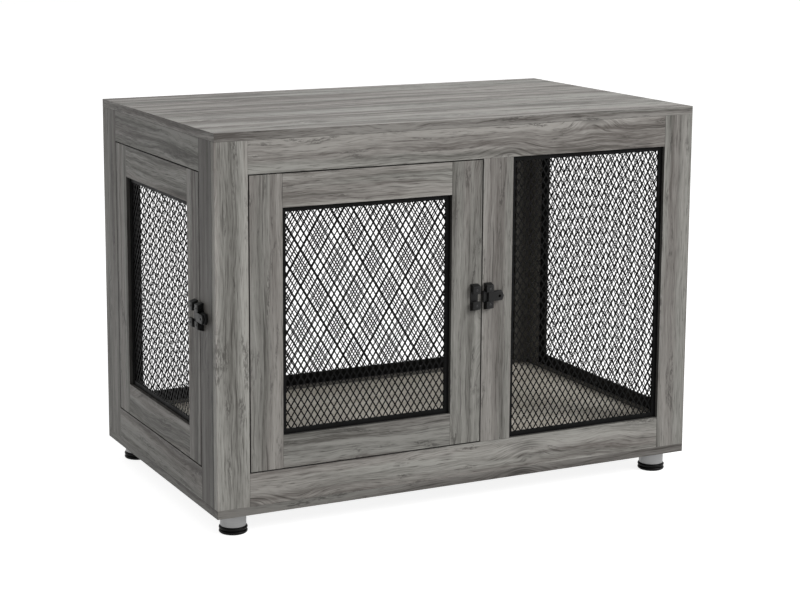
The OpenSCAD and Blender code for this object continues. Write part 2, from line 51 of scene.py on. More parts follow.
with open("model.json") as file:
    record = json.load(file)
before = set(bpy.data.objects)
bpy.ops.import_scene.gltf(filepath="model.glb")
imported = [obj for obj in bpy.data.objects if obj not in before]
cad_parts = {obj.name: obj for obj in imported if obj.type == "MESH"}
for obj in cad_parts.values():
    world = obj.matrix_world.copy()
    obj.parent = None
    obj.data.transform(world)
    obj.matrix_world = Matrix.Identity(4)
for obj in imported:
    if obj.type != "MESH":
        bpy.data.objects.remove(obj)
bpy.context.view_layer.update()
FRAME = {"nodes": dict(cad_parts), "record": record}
NODES = FRAME["nodes"]
BODY_OF = {node: body for body, nodes in FRAME["record"]["behaviour"]["bodies"].items() for node in nodes}

MM = 0.001
X, Y, Z = 0, 1, 2
WHITE = (1.0, 1.0, 1.0, 1.0)

# Points nearer than this are one, and faces that turn less than this are one
MERGE = 0.001 * MM
FLAT = math.radians(0.5)


class Wall(NamedTuple):
    """The axis that runs through a wall, the axis along it, and the side on which the cabin lies."""

    through: int
    along: int
    inward: int


WALLS = {
    "front": Wall(Y, X, 1),
    "rear": Wall(Y, X, -1),
    "left": Wall(X, Y, 1),
    "side": Wall(X, Y, 1),
    "right": Wall(X, Y, -1),
}

# A fitting's face that looks at the cabin, and the one that looks away from it
INNER_FACE, OUTER_FACE = 1, -1

# Heads of the screws of the stop tabs and the latches, and how deep a latch's heads are sunk
STOP_SCREW = 6.5 * MM
LATCH_SCREW = 5 * MM
LATCH_SUNK = 0.05 * MM

# Thickness of the edge bands and of the coats on a board's inner face and edges
SKIN = 0.3 * MM

# Boards paler or darker than the rest: partly each board's own sheet, and partly painted light and shade,
# with the front and top boards painted paler as if lit and the left side's boards darker as if in shade
BOARD_TONES_AND_LIGHT = {
    "top_board": 1.18,
    "front_top_rail": 1.12,
    "front_bottom_rail": 1.22,
    "front_left_stile": 1.34,
    "front_centre_stile": 1.06,
    "front_door_hinge_stile": 1.15,
    "front_door_top_rail": 1.24,
    "front_door_bottom_rail": 0.94,
    "front_door_latch_stile": 1.17,
    "left_front_stile": 0.5,
    "left_rear_stile": 0.8,
    "left_top_rail": 0.77,
    "left_bottom_rail": 0.91,
    "side_door_latch_stile": 0.78,
    "side_door_hinge_stile": 0.86,
    "side_door_top_rail": 0.94,
    "side_door_bottom_rail": 0.94,
}

# Boards whose sheet has a stronger or weaker grain than the rest
BOARD_CONTRAST = {
    "top_board": 1.4,
    "front_top_rail": 1.15,
    "front_door_bottom_rail": 1.2,
    "front_centre_stile": 0.82,
    "front_door_hinge_stile": 0.78,
    "front_door_latch_stile": 0.82,
    "left_front_stile": 0.85,
    "left_top_rail": 1.3,
    "side_door_top_rail": 1.25,
    "side_door_latch_stile": 1.6,
    "side_door_hinge_stile": 1.4,
}

# Tone of the edge bands against a board's face, and the painted shade of the gaps: how dark a board's edges
# round a wall's door and window are painted
EDGE_BAND = 0.69
GAP_SHADE = 0.4

# The print's slow waves, fine lines and cells per metre
WAVES_ALONG, WAVES_ACROSS = 3.4, 8.0
LINES_ACROSS = 62.0
CELLS_ALONG, CELLS_ACROSS = 5.5, 15.0

# How far the print moves along and across from one board to the next
NEXT_ALONG, NEXT_ACROSS = 7.31, 3.7

# How far the lines wander, and how far their tones spread, on upright and on level boards
UPRIGHT_WANDER, LEVEL_WANDER = 1.5, 2.2
UPRIGHT_SPREAD, LEVEL_SPREAD = 0.155, 0.13

# The part of the cells without a knot, how far a knot reaches in its cell, and its pull on the lines
PLAIN_CELLS = 0.68
KNOT_REACH = 0.55
KNOT_PULL = -1.4

# Layers of the print: waves per metre along, waves per line across, octaves of detail, roughness.
# Some run straight through the knots, and fine lines and pores bend round them.
STRAIGHT_LAYERS = {
    "broad": (1.5, 0.45, 2.0, 0.5),
    "streak": (3.0, 1.7, 1.0, 0.5),
    "tint": (0.9, 0.42, 2.0, 0.5),
    "smudge": (11.0, 1.0, 2.0, 0.6),
    "ragged": (95.0, 6.0, 3.0, 0.7),
}
BENT_LAYERS = {
    "line": (9.0, 5.4, 1.0, 0.5),
    "fine": (30.0, 9.5, 2.0, 0.65),
}

# Each layer's share in the tone of the grain
LINE_SHARE = 0.16
STREAK_SHARE = 0.35
BROAD_SHARE = 0.49
FINE_SHARE = 0.4

# Limits in a layer between which a mark or a tint comes in
PORES_IN_FINE = (0.4, 0.3)
CRACKS_IN_LINE = (0.38, 0.28)
CRACKS_IN_BROAD = (0.56, 0.42)
KNOTS_IN_LINE = (0.62, 0.4)
KNOT_HEART = (0.3, 0.06)
SMUDGES_IN_SMUDGE = (0.56, 0.68)
SMUDGES_IN_RAGGED = (0.58, 0.42)
WARM_IN_TINT = (0.42, 0.58)

# How strongly each kind of mark and the tint show
PORE, CRACK, KNOT, SMUDGE = 0.5, 0.6, 0.75, 0.65
TINT = 0.22

# Roughness of the laminate over its streaks, and its shine
LAMINATE_ROUGHNESS = (0.62, 0.5)
LAMINATE_SHINE = 0.25

# Where most of a noise's values lie
MIDDLE = (0.3, 0.7)

# A Mix node's input sockets for its factor and two values, and its output, for each type of value
MIX_SOCKETS = {"FLOAT": ((0, 2, 3), 0), "RGBA": ((0, 6, 7), 2)}


def srgb(r, g, b):
    """A colour written as it looks on screen, 0 to 255, as the linear colour that a shader takes."""
    def linear(v):
        v /= 255.0
        return v / 12.92 if v <= 0.04045 else ((v + 0.055) / 1.055) ** 2.4
    return (linear(r), linear(g), linear(b), 1.0)


# Colours of the small pieces
BUSH_BLACK = srgb(30, 30, 30)
SCREW_BLACK = srgb(30, 30, 31)
LATCH_SCREW_BLACK = srgb(24, 24, 24)


# Settings


class CrateWoodSettings(bpy.types.PropertyGroup):
    """Sizes and colours of the laminated boards"""

    pale: FloatVectorProperty(
        name="Pale grain", description="Colour of the palest grain of the laminate",
        subtype="COLOR", size=4, min=0.0, max=1.0, default=srgb(156, 154, 149))
    dark: FloatVectorProperty(
        name="Dark grain", description="Colour of the darkest broad grain of the laminate",
        subtype="COLOR", size=4, min=0.0, max=1.0, default=srgb(80, 77, 73))
    green: FloatVectorProperty(
        name="Cool band", description="Tint of the laminate's cool bands",
        subtype="COLOR", size=4, min=0.0, max=1.0, default=srgb(118, 119, 113))
    pink: FloatVectorProperty(
        name="Warm band", description="Tint of the laminate's warm bands",
        subtype="COLOR", size=4, min=0.0, max=1.0, default=srgb(124, 115, 111))
    pore: FloatVectorProperty(
        name="Pores and knots", description="Colour of pores, cracks and knots",
        subtype="COLOR", size=4, min=0.0, max=1.0, default=srgb(53, 50, 47))
    # Colour of the boards' faces towards the cabin, a little darker than the print
    inside: FloatVectorProperty(
        name="Inner face", description="Colour of the boards' charcoal inner faces",
        subtype="COLOR", size=4, min=0.0, max=1.0, default=srgb(106, 104, 99))
    birch: FloatVectorProperty(
        name="Bare wood", description="Colour of dowels and bearers",
        subtype="COLOR", size=4, min=0.0, max=1.0, default=srgb(205, 178, 138))
    # The floor board's palette: partly a paler board, and partly painted light, made paler to stand in for
    # the light on the cabin floor
    floor: FloatVectorProperty(
        name="Floor, pale grain", description="Colour of the palest grain of the cabin's floor board",
        subtype="COLOR", size=4, min=0.0, max=1.0, default=srgb(243, 237, 225))
    floor_dark: FloatVectorProperty(
        name="Floor, dark grain", description="Colour of the darkest grain of the cabin's floor board",
        subtype="COLOR", size=4, min=0.0, max=1.0, default=srgb(218, 210, 196))
    edge: FloatProperty(
        name="Eased edge", description="Width of the eased edge of every board",
        subtype="DISTANCE", unit="LENGTH", min=0.0001, max=0.002, default=0.5 * MM)


class CrateSteelSettings(bpy.types.PropertyGroup):
    """Colours of the steel and the fixings of the mesh panels"""

    coat: FloatVectorProperty(
        name="Powder coat", description="Colour of the black powder coat",
        subtype="COLOR", size=4, min=0.0, max=1.0, default=srgb(7, 7, 7))
    zinc: FloatVectorProperty(
        name="Pins", description="Colour of the plated pivot pins",
        subtype="COLOR", size=4, min=0.0, max=1.0, default=srgb(176, 176, 174))
    screw: FloatProperty(
        name="Screw head", description="Diameter of the heads of the panel screws",
        subtype="DISTANCE", unit="LENGTH", min=0.003, max=0.012, default=7 * MM)
    spacing: FloatProperty(
        name="Screw spacing", description="Largest distance between two panel screws",
        subtype="DISTANCE", unit="LENGTH", min=0.05, max=0.5, default=0.22)


class CrateLatchSettings(bpy.types.PropertyGroup):
    """Sizes and colours of the slide latches"""

    black: FloatVectorProperty(
        name="Latch black", description="Colour of the latches",
        subtype="COLOR", size=4, min=0.0, max=1.0, default=srgb(19, 19, 19))
    edge: FloatProperty(
        name="Rounded edge", description="Radius of the edges of the body and the keeper",
        subtype="DISTANCE", unit="LENGTH", min=0.0002, max=0.002, default=1.1 * MM)
    small: FloatProperty(
        name="Bolt edge", description="Radius of the edges of the bolt and its grip",
        subtype="DISTANCE", unit="LENGTH", min=0.0001, max=0.001, default=0.5 * MM)


class CrateFootSettings(bpy.types.PropertyGroup):
    """Colours of the feet, and how finely they are turned"""

    tube: FloatVectorProperty(
        name="Tube", description="Colour of the satin metal tubes",
        subtype="COLOR", size=4, min=0.0, max=1.0, default=srgb(155, 155, 155))
    pad: FloatVectorProperty(
        name="Pad", description="Colour of the moulded pads",
        subtype="COLOR", size=4, min=0.0, max=1.0, default=srgb(8, 8, 8))
    steps: IntProperty(
        name="Steps", description="Steps round a foot", min=24, max=192, default=96)


class CrateStageSettings(bpy.types.PropertyGroup):
    """Light of the studio"""

    key: FloatProperty(
        name="Key light", description="Power of the large light over the front right",
        min=0.0, max=1000.0, default=144.0)
    fill: FloatProperty(
        name="Fill light", description="Power of the light at the front left",
        min=0.0, max=1000.0, default=0.6)
    ambient: FloatProperty(
        name="Ambient", description="Strength of the light from all round",
        min=0.0, max=2.0, default=0.5)


SETTINGS = {
    "crate_wood": CrateWoodSettings,
    "crate_steel": CrateSteelSettings,
    "crate_latch": CrateLatchSettings,
    "crate_foot": CrateFootSettings,
    "crate_stage": CrateStageSettings,
}


# Node trees


class Tree:
    """A node tree with short calls for what the finishes and the studio need."""

    def __init__(self, owner):
        owner.use_nodes = True
        self.graph = owner.node_tree
        self.graph.nodes.clear()

    def feed(self, socket, value):
        """Links an input to the output that the value is, or sets it to the value."""
        if isinstance(value, bpy.types.NodeSocket):
            self.graph.links.new(value, socket)
        else:
            socket.default_value = value

    def node(self, kind, sockets=(), **settings):
        """A new node of a kind, with its settings made and then its input sockets fed."""
        node = self.graph.nodes.new(kind)
        for key, value in settings.items():
            setattr(node, key, value)
        for key, value in dict(sockets).items():
            self.feed(node.inputs[key], value)
        return node

    def math(self, operation, *values):
        """The result of an operation on up to three values."""
        return self.node("ShaderNodeMath", enumerate(values), operation=operation).outputs[0]

    def times(self, first, *factors):
        """The product of some values."""
        for factor in factors:
            first = self.math("MULTIPLY", first, factor)
        return first

    def most(self, first, *others):
        """The largest of some values."""
        for other in others:
            first = self.math("MAXIMUM", first, other)
        return first

    def outside(self, value, low, high):
        """1 where a value lies outside two limits, and 0 between them."""
        return self.math("ADD", self.math("LESS_THAN", value, low), self.math("GREATER_THAN", value, high))

    def split(self, vector):
        """The three values of a vector or a colour."""
        return list(self.node("ShaderNodeSeparateXYZ", {0: vector}).outputs)

    def vector(self, x, y, z):
        """A vector of three values."""
        return self.node("ShaderNodeCombineXYZ", {"X": x, "Y": y, "Z": z}).outputs[0]

    def noise(self, vector, detail, roughness, scale=1.0):
        """Noise from 0 to 1 with octaves of detail, at a scale in waves per unit of its vector."""
        sockets = {"Vector": vector, "Scale": scale, "Detail": detail, "Roughness": roughness}
        return self.node("ShaderNodeTexNoise", sockets).outputs["Fac"]

    def cells(self, vector):
        """The distance to the middle of the nearest cell, and that cell's own random colour."""
        node = self.node("ShaderNodeTexVoronoi", {"Vector": vector, "Scale": 1.0})
        return node.outputs["Distance"], node.outputs["Color"]

    def span(self, value, low, high, to_low=0.0, to_high=1.0, smooth=True):
        """A value mapped from one range onto another, held at its ends."""
        sockets = {"Value": value, "From Min": low, "From Max": high, "To Min": to_low, "To Max": to_high}
        course = "SMOOTHSTEP" if smooth else "LINEAR"
        return self.node("ShaderNodeMapRange", sockets, interpolation_type=course).outputs[0]

    def mix(self, factor, a, b, kind="RGBA", **settings):
        """The colour, or for FLOAT the number, that is a where the factor is 0 and b where it is 1."""
        sockets, out = MIX_SOCKETS[kind]
        node = self.node("ShaderNodeMix", zip(sockets, (factor, a, b)), data_type=kind, **settings)
        return node.outputs[out]


class Finish(Tree):
    """A material of one shader, with its patterns on Object coordinates."""

    def __init__(self, name):
        self.material = bpy.data.materials.new(name)
        super().__init__(self.material)
        self.shader = self.node("ShaderNodeBsdfPrincipled")
        self.node("ShaderNodeOutputMaterial", {"Surface": self.shader.outputs["BSDF"]})
        self.place = self.node("ShaderNodeTexCoord").outputs["Object"]

    def stretched(self, rates, detail, roughness):
        """Noise with its own waves per metre along each axis."""
        stretch = [self.times(value, rate) for value, rate in zip(self.split(self.place), rates)]
        return self.noise(self.vector(*stretch), detail, roughness)

    def bump(self, height, strength, distance):
        """Makes the surface rise with a height."""
        sockets = {"Strength": strength, "Distance": distance, "Height": height}
        raised = self.node("ShaderNodeBump", sockets).outputs["Normal"]
        self.feed(self.shader.inputs["Normal"], raised)

    def done(self, **sockets):
        """The material, with its shader's sockets fed."""
        for key, value in sockets.items():
            self.feed(self.shader.inputs[key.replace("_", " ")], value)
        return self.material


def scaled(colour, factor, more=0.0):
    """A colour paler or darker than another, held below white."""
    return tuple(min(1.0, value * factor + more) for value in colour[:3]) + (1.0,)


# Laminate


class Board(NamedTuple):
    """A board's grain axis, and where its faces differ from the printed sheet.

    inner is the axis, the side and the place from which a face takes the inner colour. bands are the limits
    along and across the grain past which the edge bands lie. opening is the axis and the two limits
    past which a wall's board has painted shade on its edges, the gaps' shadow round its door and window.
    """

    grain: int
    inner: tuple = ()
    bands: tuple = ()
    opening: tuple = ()


def printed_grain(tree, along, sheet, through, seed, wander):
    """The layers of a board's print, the distance to the nearest knot's heart, and where knots are."""
    shift = NEXT_ALONG * seed
    along = tree.math("ADD", along, shift)
    sheet = tree.math("ADD", sheet, NEXT_ACROSS * seed)
    slow = tree.vector(tree.times(along, WAVES_ALONG), tree.times(sheet, WAVES_ACROSS), through)
    drift = tree.noise(slow, detail=3.0, roughness=0.55)
    straight = tree.math("MULTIPLY_ADD", drift, wander, tree.times(sheet, LINES_ACROSS))
    grid = tree.vector(tree.times(along, CELLS_ALONG), tree.times(sheet, CELLS_ACROSS), shift)
    far, cell = tree.cells(grid)
    knotty = tree.math("GREATER_THAN", tree.split(cell)[0], PLAIN_CELLS)
    swirl = tree.times(tree.span(far, KNOT_REACH, 0.0), knotty)
    bent = tree.math("MULTIPLY_ADD", swirl, KNOT_PULL, straight)
    layers = {}
    for course, table in ((straight, STRAIGHT_LAYERS), (bent, BENT_LAYERS)):
        for key, (waves_along, waves_across, detail, roughness) in table.items():
            x, y = tree.times(along, waves_along), tree.times(course, waves_across)
            layers[key] = tree.noise(tree.vector(x, y, shift + waves_across), detail, roughness)
    return layers, far, knotty


def dark_marks(tree, layers, far, knotty):
    """How strongly the pores, cracks, knots and smudges of a print show."""
    broad, line, fine = (layers[key] for key in ("broad", "line", "fine"))
    pores = tree.times(tree.span(fine, *PORES_IN_FINE), PORE)
    cracks = tree.times(tree.span(line, *CRACKS_IN_LINE), tree.span(broad, *CRACKS_IN_BROAD), CRACK)
    knots = tree.times(tree.span(far, *KNOT_HEART), knotty, tree.span(line, *KNOTS_IN_LINE), KNOT)
    smudges = tree.times(tree.span(layers["smudge"], *SMUDGES_IN_SMUDGE),
                         tree.span(layers["ragged"], *SMUDGES_IN_RAGGED), SMUDGE)
    return tree.most(pores, cracks, knots, smudges)


def laminate(name, settings, board, seed, tone, contrast, floor):
    """Weathered grey oak laminate with its grain along one axis.

    seed picks the board's own stretch of the print. tone makes its sheet paler or darker than the
    rest, partly its own sheet and partly painted light and shade of its side. contrast makes its grain
    stronger, and floor gives the cabin floor's pale sheet, paler partly as painted light.
    """
    tree = Finish(name)
    place = tree.split(tree.place)
    along = place[board.grain]
    across, depth = [place[axis] for axis in (X, Y, Z) if axis != board.grain]
    sheet = tree.math("ADD", across, depth)
    through = tree.math("SUBTRACT", across, depth)
    # tone holds the board's own tone together with the painted light and shade of its side
    shade = tone
    if board.bands:
        # the band of an end has its grain along the end
        limits_along, limits_across = board.bands
        end = tree.outside(along, *limits_along)
        banded = tree.most(end, tree.outside(across, *limits_across))
        shade = tree.mix(banded, tone, tone * EDGE_BAND, "FLOAT")
        along = tree.mix(end, along, across, "FLOAT")
        sheet = tree.mix(end, sheet, depth, "FLOAT")
    # painted shade: a wall's board is darker on its edges round the door and window, as the shadow in the
    # gaps
    if board.opening:
        axis, first, last = board.opening
        shade = tree.mix(tree.outside(place[axis], first, last), tone, tone * GAP_SHADE, "FLOAT")
    upright = board.grain == Z
    wander = UPRIGHT_WANDER if upright else LEVEL_WANDER
    layers, far, knotty = printed_grain(tree, along, sheet, through, seed, wander)
    broad, streak, line, fine = (layers[key] for key in ("broad", "streak", "line", "fine"))
    level = tree.times(line, LINE_SHARE)
    level = tree.math("MULTIPLY_ADD", streak, STREAK_SHARE, level)
    level = tree.math("MULTIPLY_ADD", broad, BROAD_SHARE, level)
    level = tree.math("MULTIPLY_ADD", tree.math("SUBTRACT", fine, 0.5), FINE_SHARE, level)
    spread = (UPRIGHT_SPREAD if upright else LEVEL_SPREAD) / contrast
    level = tree.span(level, 0.5 - spread, 0.5 + spread, smooth=False)
    rough = tree.span(streak, *MIDDLE, *LAMINATE_ROUGHNESS, smooth=False)
    # painted light: the floor board's pale palette partly stands in for the light on the cabin floor
    if floor:
        colour = tree.mix(level, settings.floor_dark, settings.floor)
        tree.bump(line, strength=0.15, distance=0.3 * MM)
        return tree.done(Base_Color=colour, Roughness=rough, Specular_IOR_Level=LAMINATE_SHINE)
    colour = tree.mix(level, settings.dark, settings.pale)
    band = tree.mix(tree.span(layers["tint"], *WARM_IN_TINT), settings.green, settings.pink)
    colour = tree.mix(TINT, colour, band)
    colour = tree.mix(dark_marks(tree, layers, far, knotty), colour, settings.pore)
    colour = tree.mix(1.0, colour, tree.vector(shade, shade, shade), blend_type="MULTIPLY")
    # the faces towards the cabin take the inner colour, a little darker than the print
    if board.inner:
        axis, side, limit = board.inner
        hidden = tree.math("GREATER_THAN" if side > 0 else "LESS_THAN", place[axis], limit)
        colour = tree.mix(hidden, colour, settings.inside)
    tree.bump(tree.mix(0.5, line, fine, "FLOAT"), strength=0.22, distance=0.35 * MM)
    return tree.done(Base_Color=colour, Roughness=rough, Specular_IOR_Level=LAMINATE_SHINE)


# Other finishes


def bare_wood(name, settings):
    """Unfinished pale wood for dowels and bearers."""
    tree = Finish(name)
    rings = tree.stretched((90.0, 6.0, 90.0), detail=4.0, roughness=0.6)
    late_wood = scaled(settings.birch, 0.62)
    colour = tree.mix(tree.span(rings, *MIDDLE), late_wood, settings.birch)
    rough = tree.span(rings, *MIDDLE, to_low=0.75, to_high=0.6)
    tree.bump(rings, strength=0.3, distance=0.4 * MM)
    return tree.done(Base_Color=colour, Roughness=rough)


def powder_coat(name, colour, rough, grit=900.0, worn=1.75, shine=0.45):
    """Black coated metal with a slight orange peel and worn patches.

    grit is the peel's waves per metre, and worn says how many times paler the patches are.
    """
    tree = Finish(name)
    peel = tree.noise(tree.place, detail=2.0, roughness=0.5, scale=grit)
    cloud = tree.noise(tree.place, detail=3.0, roughness=0.6, scale=24.0)
    patches = tree.span(cloud, 0.35, 0.75)
    shade = tree.mix(patches, colour, scaled(colour, worn, more=0.001))
    rough = tree.span(cloud, *MIDDLE, to_low=rough + 0.06, to_high=rough - 0.05)
    tree.bump(peel, strength=0.25, distance=0.12 * MM)
    return tree.done(Base_Color=shade, Roughness=rough, Specular_IOR_Level=shine)


def satin_metal(name, colour):
    """Turned satin metal, brushed round its upright axis."""
    tree = Finish(name)
    brushed = tree.stretched((12.0, 12.0, 2600.0), detail=2.0, roughness=0.6)
    cloud = tree.noise(tree.place, detail=2.0, roughness=0.5, scale=60.0)
    shade = tree.mix(tree.span(brushed, *MIDDLE), scaled(colour, 0.82), colour)
    rough = tree.span(cloud, *MIDDLE, to_low=0.46, to_high=0.38)
    tree.bump(brushed, strength=0.12, distance=0.05 * MM)
    return tree.done(Base_Color=shade, Metallic=0.55, Roughness=rough)


def moulded(name, colour, shine):
    """Moulded plastic or rubber with a fine spark texture."""
    tree = Finish(name)
    spark = tree.noise(tree.place, detail=3.0, roughness=0.6, scale=1400.0)
    cloud = tree.noise(tree.place, detail=2.0, roughness=0.5, scale=30.0)
    patches = tree.span(cloud, 0.35, 0.7)
    shade = tree.mix(patches, colour, scaled(colour, 1.5, more=0.003))
    rough = tree.span(spark, *MIDDLE, to_low=0.47, to_high=0.37)
    tree.bump(spark, strength=0.2, distance=0.1 * MM)
    return tree.done(Base_Color=shade, Roughness=rough, Specular_IOR_Level=shine)


# Mesh tools


def new_object(bm, name, material):
    """A finished bmesh as an object of one material."""
    mesh = bpy.data.meshes.new(name)
    bm.to_mesh(mesh)
    bm.free()
    mesh.materials.append(material)
    made = bpy.data.objects.new(name, mesh)
    bpy.context.scene.collection.objects.link(made)
    return made


def put(bm, name, material, body, replaces=()):
    """A finished bmesh as a named piece that rides on a body."""
    piece = new_object(bm, name, material)
    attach(piece, body)
    if replaces:
        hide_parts(*replaces)
    return piece


def dress(node, material):
    """Gives a CAD node's object one material."""
    slots = NODES[node].data.materials
    slots.clear()
    slots.append(material)


def smooth(piece, crease):
    """Smooth shading that keeps edges sharper than an angle in degrees."""
    for face in piece.data.polygons:
        face.use_smooth = True
    piece.data.set_sharp_from_angle(angle=math.radians(crease))


def wall_of(node):
    """The wall that a board or fitting belongs to, from its name."""
    return WALLS[node.split("_")[0]]


def eased_copy(node, width, segments, shortest, sharpest):
    """The merged shape of a CAD node, with its outer edges eased.

    Edges stay as they are where they are no longer than shortest, or turn less than sharpest, an
    angle in degrees.
    """
    bm = bmesh.new()
    bm.from_mesh(NODES[node].data)
    bmesh.ops.remove_doubles(bm, verts=bm.verts, dist=MERGE)
    bmesh.ops.dissolve_limit(bm, angle_limit=FLAT, verts=bm.verts, edges=bm.edges)
    edges = [edge for edge in bm.edges if len(edge.link_faces) == 2 and edge.is_convex
             and edge.calc_length() > shortest and edge.calc_face_angle() > math.radians(sharpest)]
    bmesh.ops.bevel(bm, geom=edges, offset=width, offset_type="OFFSET", segments=segments, profile=0.5,
                    affect="EDGES", clamp_overlap=True, material=-1)
    bmesh.ops.recalc_face_normals(bm, faces=bm.faces)
    return bm


def added(bm, before):
    """The vertices that a bmesh has gained since the set of its vertices was taken."""
    return [vert for vert in bm.verts if vert not in before]


def faces_of(verts):
    """All faces round some vertices."""
    return list({face for vert in verts for face in vert.link_faces})


def turned(bm, outline, centre, steps):
    """Spins an outline of (radius, height) points round an upright axis, and gives its vertices."""
    before = set(bm.verts)
    verts = [bm.verts.new((centre.x + radius, centre.y, height)) for radius, height in outline]
    edges = [bm.edges.new(pair) for pair in zip(verts, verts[1:])]
    bmesh.ops.spin(bm, geom=verts + edges, cent=centre, axis=(0, 0, 1), dvec=(0, 0, 0), angle=math.tau,
                   steps=steps, use_merge=True, use_duplicate=False)
    bmesh.ops.remove_doubles(bm, verts=added(bm, before), dist=MERGE)
    verts = added(bm, before)
    bmesh.ops.recalc_face_normals(bm, faces=faces_of(verts))
    return verts


def screw_head(bm, at, outward, diameter):
    """A low domed screw head with a round recess, seated on a face at a point."""
    radius = diameter / 2
    rise = 0.22 * diameter
    shoulder = 0.82 * radius
    crown = 0.42 * radius
    rim = 0.08 * radius
    recess = 0.5 * rise
    before = set(bm.verts)
    verts = turned(bm, ((radius, 0.0), (shoulder, 0.7 * rise), (crown, rise)), Vector(), steps=10)
    open_edges = list({edge for vert in verts for edge in vert.link_edges if edge.is_boundary})
    caps = bmesh.ops.holes_fill(bm, edges=open_edges, sides=0)["faces"]
    top = max(caps, key=lambda cap: cap.calc_center_median().z)
    bmesh.ops.inset_individual(bm, faces=[top], thickness=rim, depth=0.0)
    bmesh.ops.translate(bm, vec=(0, 0, -recess), verts=top.verts)
    verts = added(bm, before)
    bmesh.ops.recalc_face_normals(bm, faces=faces_of(verts))
    turn = Vector((0, 0, 1)).rotation_difference(outward).to_matrix().to_4x4()
    bmesh.ops.transform(bm, matrix=Matrix.Translation(at) @ turn, verts=verts)


def screws(node, spots, face, diameter, material, sunk=0.0):
    """Screw heads at (along, up) spots on the inner or the outer face of a wall's fitting."""
    low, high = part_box(node)
    wall = wall_of(node)
    outward = Vector()
    outward[wall.through] = face * wall.inward
    seat = high[wall.through] if outward[wall.through] > 0 else low[wall.through]
    bm = bmesh.new()
    for place, height in spots:
        at = Vector((0.0, 0.0, height))
        at[wall.along] = place
        at[wall.through] = seat - sunk * outward[wall.through]
        screw_head(bm, at, outward, diameter)
    smooth(put(bm, node + "_screws", material, BODY_OF[node]), crease=40)


# Boards


def board_place(node):
    """How a board of the case or of a door lies, from its name and its box."""
    low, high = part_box(node)
    bands = ((low.x + SKIN, high.x - SKIN), (low.y + SKIN, high.y - SKIN))
    if node == "top_board":
        return Board(X, inner=(Z, -1, low.z + SKIN), bands=bands)
    if node in ("bottom_board", "floor_board"):
        return Board(X, bands=bands)
    wall = wall_of(node)
    grain, run = (Z, wall.along) if node.endswith("_stile") else (wall.along, Z)
    back = high[wall.through] - SKIN if wall.inward > 0 else low[wall.through] + SKIN
    # an edge that lies in one of the case's outer sides gets no painted gap shade and stays as pale as the
    # face
    case_low, case_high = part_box("bottom_board")[0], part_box("top_board")[1]
    first = low[run] + (SKIN if low[run] > case_low[run] + SKIN else -SKIN)
    last = high[run] - (SKIN if high[run] < case_high[run] - SKIN else -SKIN)
    return Board(grain, inner=(wall.through, wall.inward, back), opening=(run, first, last))


def lay_boards(nodes, settings):
    """Eased laminate boards in place of the CAD's boards."""
    for node in nodes:
        name = "laminate " + node.replace("_", " ")
        seed = 1 + list(NODES).index(node)
        # painted light and shade: the front and top boards are paler and the left side's boards darker,
        # besides each board's own tone
        tone = BOARD_TONES_AND_LIGHT.get(node, 1.0)
        contrast = BOARD_CONTRAST.get(node, 1.0)
        material = laminate(name, settings, board_place(node), seed, tone, contrast, node == "floor_board")
        eased = eased_copy(node, settings.edge, segments=2, shortest=7 * MM, sharpest=60)
        put(eased, node + "_eased", material, BODY_OF[node], (node,))


class CRATE_OT_case(bpy.types.Operator):
    """Lay the boards of the case: top, bottom, floor and the four framed walls"""

    bl_idname = "crate.case"
    bl_label = "Case boards"

    def execute(self, context):
        settings = context.scene.crate_wood
        nodes = [n for n in NODES if n.endswith(("_stile", "_rail", "_board")) and "door" not in n]
        lay_boards(nodes, settings)
        dress("floor_bearers", bare_wood("bearer wood", settings))
        return {"FINISHED"}


class CRATE_OT_doors(bpy.types.Operator):
    """Lay the boards of both doors"""

    bl_idname = "crate.doors"
    bl_label = "Door boards"

    def execute(self, context):
        nodes = [n for n in NODES if n.endswith(("_stile", "_rail")) and "door" in n]
        lay_boards(nodes, context.scene.crate_wood)
        return {"FINISHED"}


class CRATE_OT_joinery(bpy.types.Operator):
    """Finish the dowels, pivot pins and bushes"""

    bl_idname = "crate.joinery"
    bl_label = "Dowels, pins and bushes"

    def execute(self, context):
        scene = context.scene
        finishes = {
            "_dowels": bare_wood("dowel wood", scene.crate_wood),
            "_pins": satin_metal("plated pin", scene.crate_steel.zinc),
            "_bushes": moulded("bush nylon", BUSH_BLACK, shine=0.2),
        }
        for ending, finish in finishes.items():
            for node in [n for n in NODES if n.endswith(ending)]:
                dress(node, finish)
        return {"FINISHED"}


# Mesh panels


def spread(low, high, spacing):
    """Even places between two ends, no further apart than the spacing."""
    count = max(2, math.ceil((high - low) / spacing) + 1)
    return [low + (high - low) * i / (count - 1) for i in range(count)]


